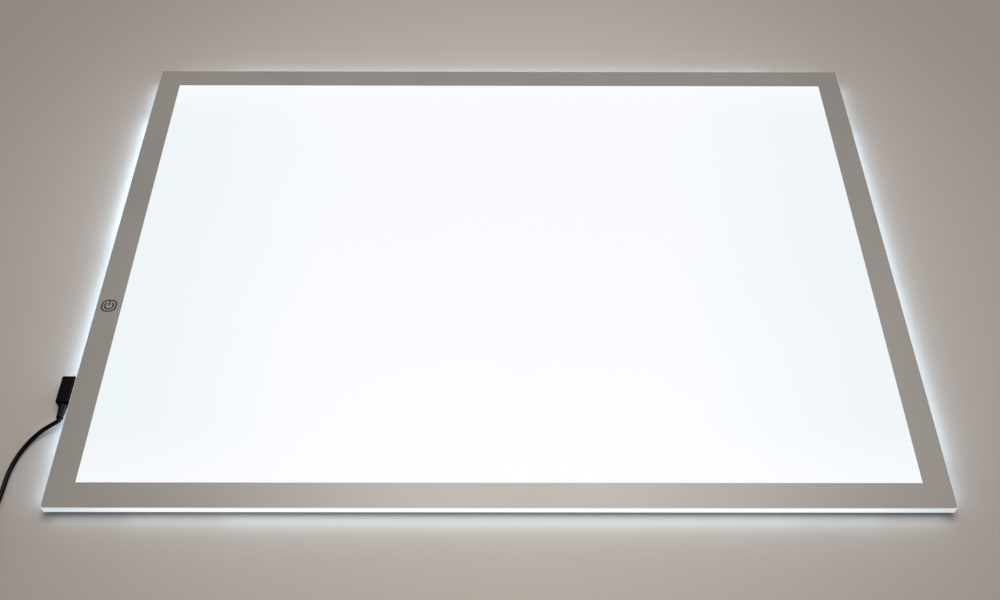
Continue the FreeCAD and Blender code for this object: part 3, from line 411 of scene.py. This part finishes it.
paint(opal_window(), "top_sheet")
paint(clear_edge(), "clear_edge_frame")
paint(border_print(), "border_overlay")
paint(icon_ink(), "power_icon")
paint(slate_and_painted_shade_cover(), "back_cover")

paint_moulded(
    "plug_pvc", srgb(4, 3, 7),
    "plug_moulding", "plug_strain_relief", "usb_strain_relief", "usb_moulding",
    rough=0.36, grain=1500, depth=0.00003, wear=0.2, shine=0.05,
)
CABLE = paint_moulded(
    "cable_pvc", srgb(4, 3, 6), "power_cable",
    rough=0.3, grain=1100, depth=0.00002, wear=0.1, shine=0.05,
)
# the other moulded materials: name, colour, pieces, settings
for name, colour, pieces, settings in (
    ("foot_rubber", (34, 34, 35), ["rubber_feet"],
     dict(rough=0.78, grain=1800, depth=0.00006, wear=0.5)),
    ("socket_plastic", (22, 22, 24), ["power_socket", "plug_insulator"],
     dict(rough=0.35, grain=2500)),
    ("chip_epoxy", (38, 38, 40), ["controller_chip", "power_transistor"],
     dict(rough=0.6, grain=5000, depth=0.00002, wear=0.1)),
    ("ferrite", (84, 84, 88), ["inductor"], dict(rough=0.7, grain=4000, wear=0.3)),
    ("capacitor_ceramic", (176, 148, 112), ["capacitors"],
     dict(rough=0.4, grain=6000, wear=0.1, spread=0.12)),
    ("resistor_glaze", (44, 44, 47), ["resistors"], dict(rough=0.3, grain=6000, wear=0.1)),
    ("tongue_nylon", (232, 231, 226), ["usb_tongue"],
     dict(rough=0.45, grain=3000, wear=0.0, spread=0.05)),
    ("tape_tissue", (226, 220, 204),
     ["front_board_tape", "rear_board_tape", "control_board_tape"],
     dict(rough=0.8, grain=2500, wear=0.0, spread=0.07)),
    ("foam_open_cell", (120, 120, 121), ["touch_foam"],
     dict(rough=0.95, grain=1600, depth=0.0003, wear=0.0)),
    ("wire_jacket", (176, 40, 34), ["front_led_wires", "rear_led_wires"],
     dict(rough=0.4, grain=1500, wear=0.0, spread=0.15)),
    ("white_solder_mask", (240, 240, 236), ["front_led_board", "rear_led_board"],
     dict(rough=0.35, grain=2500, wear=0.1, spread=0.04)),
    ("diffuser_film", (244, 245, 246), ["diffuser_film"],
     dict(rough=0.6, grain=5000, wear=0.0, spread=0.03)),
    ("reflector_white", (248, 248, 246), ["reflector_sheet"],
     dict(rough=0.7, grain=3000, wear=0.0, spread=0.03)),
):
    paint_moulded(name, srgb(*colour), *pieces, **settings)

paint(
    metal("nickel_plate", srgb(214, 212, 208), rough=0.2),
    "socket_pin", "socket_contact", "plug_sleeve", "plug_tip_contact", "usb_shell",
)
paint(metal("screw_plate", srgb(150, 150, 152), rough=0.34, along=(8, 8, 1)), "cover_screws")
paint(metal("gold_flash", srgb(226, 186, 108), rough=0.22), "usb_contacts")
paint(metal("copper_foil", srgb(214, 146, 108), rough=0.35), "touch_foil")

paint(green_solder_mask(), "control_board")
paint(light_guide_acrylic(), "light_guide_plate")
paint(led_package(), "front_leds", "rear_leds")


# ------------------------------------------------------------------ the power cable
def curve_tube(name, centre, radius, material, sides):
    """A polyline with a modifier that makes it a tube, round however the line bends."""
    mesh = bpy.data.meshes.new(name)
    mesh.from_pydata(centre, [(i, i + 1) for i in range(len(centre) - 1)], [])
    obj = bpy.data.objects.new(name, mesh)
    scene.collection.objects.link(obj)
    mesh.materials.append(material)
    tree = bpy.data.node_groups.new(name + "_tube", "GeometryNodeTree")
    for direction in ("INPUT", "OUTPUT"):
        tree.interface.new_socket(
            "Geometry", in_out=direction, socket_type="NodeSocketGeometry"
        )
    new, link = tree.nodes.new, tree.links.new
    start, end = new("NodeGroupInput"), new("NodeGroupOutput")
    to_curve, tube = new("GeometryNodeMeshToCurve"), new("GeometryNodeCurveToMesh")
    circle, dress = new("GeometryNodeCurvePrimitiveCircle"), new("GeometryNodeSetMaterial")
    normal, shade = new("GeometryNodeSetCurveNormal"), new("GeometryNodeSetShadeSmooth")
    circle.inputs["Resolution"].default_value = sides
    circle.inputs["Radius"].default_value = radius
    normal.mode = "MINIMUM_TWIST"
    tube.inputs["Fill Caps"].default_value = True
    dress.inputs["Material"].default_value = material
    link(start.outputs[0], to_curve.inputs[0])
    link(to_curve.outputs[0], normal.inputs[0])
    link(normal.outputs[0], tube.inputs["Curve"])
    link(circle.outputs["Curve"], tube.inputs["Profile Curve"])
    link(tube.outputs[0], shade.inputs[0])
    link(shade.outputs[0], dress.inputs[0])
    link(dress.outputs[0], end.inputs[0])
    obj.modifiers.new("tube", "NODES").node_group = tree
    return obj


def bspline(poles, steps):
    """Points on a clamped uniform cubic B-spline, by de Boor's algorithm."""
    degree = 3
    spans = len(poles) - degree
    inner_knots = [float(i) for i in range(1, spans)]
    knots = [0.0] * (degree + 1) + inner_knots + [float(spans)] * (degree + 1)

    def at(u):
        first = int(u)
        points = [Vector(pole) for pole in poles[first : first + degree + 1]]
        for level in range(1, degree + 1):
            for j in range(degree, level - 1, -1):
                low, high = knots[first + j], knots[first + j + 1 + degree - level]
                t = (u - low) / (high - low)
                points[j] = points[j - 1] * (1 - t) + points[j] * t
        return points[degree]

    # stop just short of the end, so that the last point stays in the last span
    return [at(min(spans * i / steps, spans - 1e-9)) for i in range(steps + 1)]


CABLE_RADIUS = 1.65 * MM
START_INSIDE = 3.8 * MM  # from the strain relief's rear end to the start of the cable
USB_AT = Vector((-0.3526, -0.237, 0.004))
USB_TURN = math.radians(-5)  # of the USB plug, away from straight forward
# poles at the strain relief: mm in x, y, z from its front end
BOOT_POLES = (
    (0, 12.6, 0),
    (0, 7.6, 0),
    (0, 3.1, 0),
    (0, -0.3, 0),
    (-0.1, -2.4, -0.05),
)
# poles of the free run over the table: x, y, z in mm
TABLE_POLES = (
    (-326.8, -159.5, 5.5),
    (-334.2, -163.9, 3.9),
    (-340.6, -171.2, 2.4),
    (-345.3, -179.6, 1.7),
    (-348.5, -189.4, 1.65),
    (-350.1, -200.2, 1.67),
    (-350.3, -211.6, 1.67),
    (-350.6, -221.0, 2.05),
)
USB_POLES = (-8, -4, 0, 4, 8, 12)  # mm from USB_AT along the USB plug


def power_cable():
    sleeve_low, sleeve_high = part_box("plug_sleeve")
    boot_low, boot_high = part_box("plug_strain_relief")
    boot_x = (boot_low[0] + boot_high[0]) / 2
    exit_y = boot_low[1]
    axis_z = (sleeve_low[2] + sleeve_high[2]) / 2
    usb_direction = Vector((math.sin(USB_TURN), -math.cos(USB_TURN), 0))

    poles = [(boot_x, boot_high[1] + START_INSIDE, axis_z)]
    poles += [(boot_x + x * MM, exit_y + y * MM, axis_z + z * MM) for x, y, z in BOOT_POLES]
    poles += [(x * MM, y * MM, z * MM) for x, y, z in TABLE_POLES]
    poles += [tuple(USB_AT + usb_direction * along * MM) for along in USB_POLES]
    centre = bspline(poles, steps=420)
    cable = curve_tube("power_cable_round", centre, CABLE_RADIUS, CABLE, sides=40)
    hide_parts("power_cable")
    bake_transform(cable)


power_cable()


# ------------------------------------------------------------------ table and world
def table_top():
    look = Look("table_top")
    cloud = look.noise(scale=1.6, detail=4)
    fine = look.noise(scale=900)
    x, y, _ = look.xyz()
    base = look.mix(look.ramp(cloud), srgb(185, 179, 174), srgb(191, 185, 179))
    fine_mask = look.ramp(fine, low=0.4)
    base = look.tinted(base, srgb(200, 193, 186), mask=fine_mask, amount=0.15)
    # painted shade: the table's colour darkens softly away from the middle, standing in for the
    # fall-off under a single overhead light
    away = look.math("SQRT", look.plus(look.times(x, x), look.times(y, y)))
    base = look.mix(look.ramp(away, low=0.16, high=0.6), base, srgb(154, 146, 143))
    look.bump(fine, distance=0.00003, strength=0.2)
    return look.finish(Base_Color=base, Roughness=0.55, Specular_IOR_Level=0.35)


def table(half=60, drop=0.00002):
    """A wide square, a hair below the panel's feet."""
    material = table_top()
    mesh = bpy.data.meshes.new("table")
    corners = [(-half, -half, 0), (half, -half, 0), (half, half, 0), (-half, half, 0)]
    mesh.from_pydata(corners, [], [(0, 1, 2, 3)])
    obj = bpy.data.objects.new("table", mesh)
    mesh.materials.append(material)
    scene.collection.objects.link(obj)
    obj.location.z = -drop


def room(colour, strength):
    world = bpy.data.worlds.new("room")
    world.use_nodes = True
    background = world.node_tree.nodes["Background"]
    background.inputs["Color"].default_value = colour
    background.inputs["Strength"].default_value = strength
    scene.world = world


table()
room(colour=(1.0, 0.97, 0.94, 1), strength=0.40)


# ------------------------------------------------------------------ lights
def area(name, where, rotation, size, power, colour):
    """A rectangular light, hidden from the camera."""
    lamp = bpy.data.lights.new(name, "AREA")
    lamp.shape = "RECTANGLE"
    lamp.size, lamp.size_y = size
    lamp.energy = power
    lamp.color = colour
    obj = bpy.data.objects.new(name, lamp)
    scene.collection.objects.link(obj)
    obj.location = where
    obj.rotation_mode = "QUATERNION"
    obj.rotation_quaternion = rotation
    obj.visible_camera = False
    return obj


def overhead(name, where, target, size, power, colour):
    rotation = (Vector(target) - Vector(where)).to_track_quat("-Z", "Y")
    return area(name, where, rotation, size, power, colour)


# soft light from above, seen in no reflection
softbox = overhead(
    "softbox", where=(0.06, 0.52, 2.1), target=(0.0, 0.0, 0.0),
    size=(1.6, 1.3), power=25, colour=(1.0, 0.93, 0.88),
)
softbox.visible_glossy = False
# wide card above and behind the panel, whose sheen brightens the front border
sheen_card = overhead(
    "sheen_card", where=(0.09, 0.95, 2.1), target=(0.02, -0.1, 0.0),
    size=(1.45, 0.6), power=46, colour=(1.0, 0.92, 0.85),
)
sheen_card.visible_diffuse = False

# light that leaves the panel's edges: strips just outside the clear ring, facing out and a
# little down, in short lengths so that each side can fade towards its corners
GLOW, GLOW_FRONT = (0.5, 0.76, 0.96), (0.56, 0.8, 0.93)
STRIP_Z, STRIP_HEIGHT = 0.0064, 0.0046
STRIP_GAP = 0.0016  # outward from the panel's edge
STRIP_DIP = math.radians(33)
UP = Vector((0, 0, 1))


def strip(name, where, out, length, radiance, tint):
    aim = out * math.cos(STRIP_DIP) - UP * math.sin(STRIP_DIP)
    # the long side of the rectangle lies along the edge
    z_axis = -aim.normalized()
    x_axis = UP.cross(z_axis).normalized()
    y_axis = z_axis.cross(x_axis)
    rotation = Matrix((x_axis, y_axis, z_axis)).transposed().to_quaternion()
    power = radiance * math.pi * length * STRIP_HEIGHT
    area(name, where, rotation, (length, STRIP_HEIGHT), power, tint)


def side_glow(name, out, half, reach, tint, parts):
    """Strips along a side of half-length half, at distance reach from the middle."""
    out = Vector(out)
    across = UP.cross(out)
    for number, (start, end, radiance) in enumerate(parts, 1):
        middle = across * (half * (start + end) / 2)
        where = out * (reach + STRIP_GAP) + middle + UP * STRIP_Z
        strip(f"{name}_{number}", where, out, half * (end - start), radiance, tint)


# parts: start, end, radiance; places are fractions of the side from -1 to 1, counterclockwise
# from above, so the front runs left to right and the right side front to back
side_glow(
    "glow_front", (0, -1, 0), HALF_LENGTH, HALF_WIDTH, GLOW_FRONT,
    ((-0.98, -0.82, 1.5), (-0.82, -0.6, 2.5), (-0.6, 0.66, 3.4), (0.66, 0.84, 2.9),
     (0.84, 0.98, 2.1)),
)
side_glow(
    "glow_right", (1, 0, 0), HALF_WIDTH, HALF_LENGTH, GLOW,
    ((-0.96, -0.8, 3.6), (-0.8, 0.7, 6.3), (0.7, 0.96, 3.4)),
)
side_glow(
    "glow_rear", (0, 1, 0), HALF_LENGTH, HALF_WIDTH, GLOW,
    ((-0.96, -0.8, 2.6), (-0.8, 0.8, 6.0), (0.8, 0.96, 2.6)),
)
# the left side has a gap at the socket, where the plug covers the edge
side_glow(
    "glow_left", (-1, 0, 0), HALF_WIDTH, HALF_LENGTH, GLOW,
    ((-0.96, -0.75, 5.0), (-0.75, -0.1, 10.2), (-0.1, 0.515, 7.8), (0.62, 0.8, 7.4),
     (0.8, 0.97, 5.0)),
)


# ------------------------------------------------------------------ camera
def add_camera(where, heading, dip, roll, lens):
    """Angles in degrees: heading from +Y toward +X, dip below level, roll about the view."""
    heading, dip, roll = (math.radians(angle) for angle in (heading, dip, roll))
    forward = Vector(
        (math.sin(heading) * math.cos(dip), math.cos(heading) * math.cos(dip), -math.sin(dip))
    )
    level_right = Vector((math.cos(heading), -math.sin(heading), 0))
    level_up = level_right.cross(forward)
    right = level_right * math.cos(roll) + level_up * math.sin(roll)
    up = -level_right * math.sin(roll) + level_up * math.cos(roll)
    camera = bpy.data.objects.new("camera", bpy.data.cameras.new("camera"))
    scene.collection.objects.link(camera)
    camera.data.sensor_width = 36
    camera.data.lens = lens
    camera.data.clip_start, camera.data.clip_end = 0.01, 50
    pose = Matrix((right, up, -forward)).transposed().to_4x4()
    pose.translation = Vector(where)
    camera.matrix_world = pose
    scene.camera = camera


add_camera(where=(-0.002, -0.613, 0.716), heading=0.25, dip=51.22, roll=0.27, lens=41.245)
